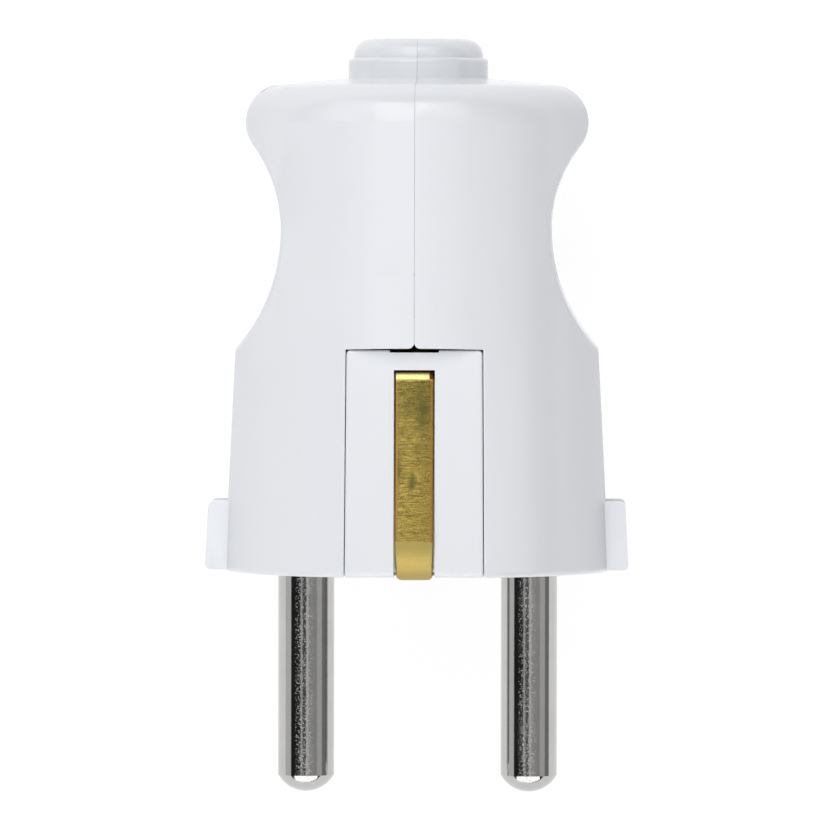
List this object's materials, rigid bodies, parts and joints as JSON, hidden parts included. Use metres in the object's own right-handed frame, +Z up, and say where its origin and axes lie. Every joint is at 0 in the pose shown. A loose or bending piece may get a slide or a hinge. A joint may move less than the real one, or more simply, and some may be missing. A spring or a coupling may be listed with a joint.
{
  "type": "type f plug",
  "caption": "Straight white rewirable type F plug: round pins, brass side earth contacts, waisted finger grip and a round cord entry.",
  "frame": {"origin": "bottom centre of the plug as it lies on its rear side", "axes": "+X from the line pin to the neutral pin, +Y from the pins to the cord entry, +Z up, out of the front panel"},
  "size_m": [0.0358, 0.0642, 0.0323],
  "materials": {
    "white_plastic": "smooth moulded white, glossy",
    "nickel_plate": "nickel plate with a fine pitted grain",
    "brass": "bare brass strip, brushed across its length",
    "zinc_steel": "zinc-plated steel"
  },
  "bodies": {
    "root": {"left_shell": "white_plastic", "right_shell": "white_plastic", "contact_carrier": "white_plastic", "cord_clamp_bar": "white_plastic", "line_pin": "nickel_plate", "neutral_pin": "nickel_plate", "earth_strip": "brass", "earth_terminal_screw": "zinc_steel", "earth_terminal_washer": "brass", "earth_terminal_nut": "brass", "line_terminal_screw": "zinc_steel", "neutral_terminal_screw": "zinc_steel", "housing_screw": "zinc_steel", "housing_nut": "zinc_steel", "cord_clamp_screw_front": "zinc_steel", "cord_clamp_screw_rear": "zinc_steel"}
  },
  "joints": []
}
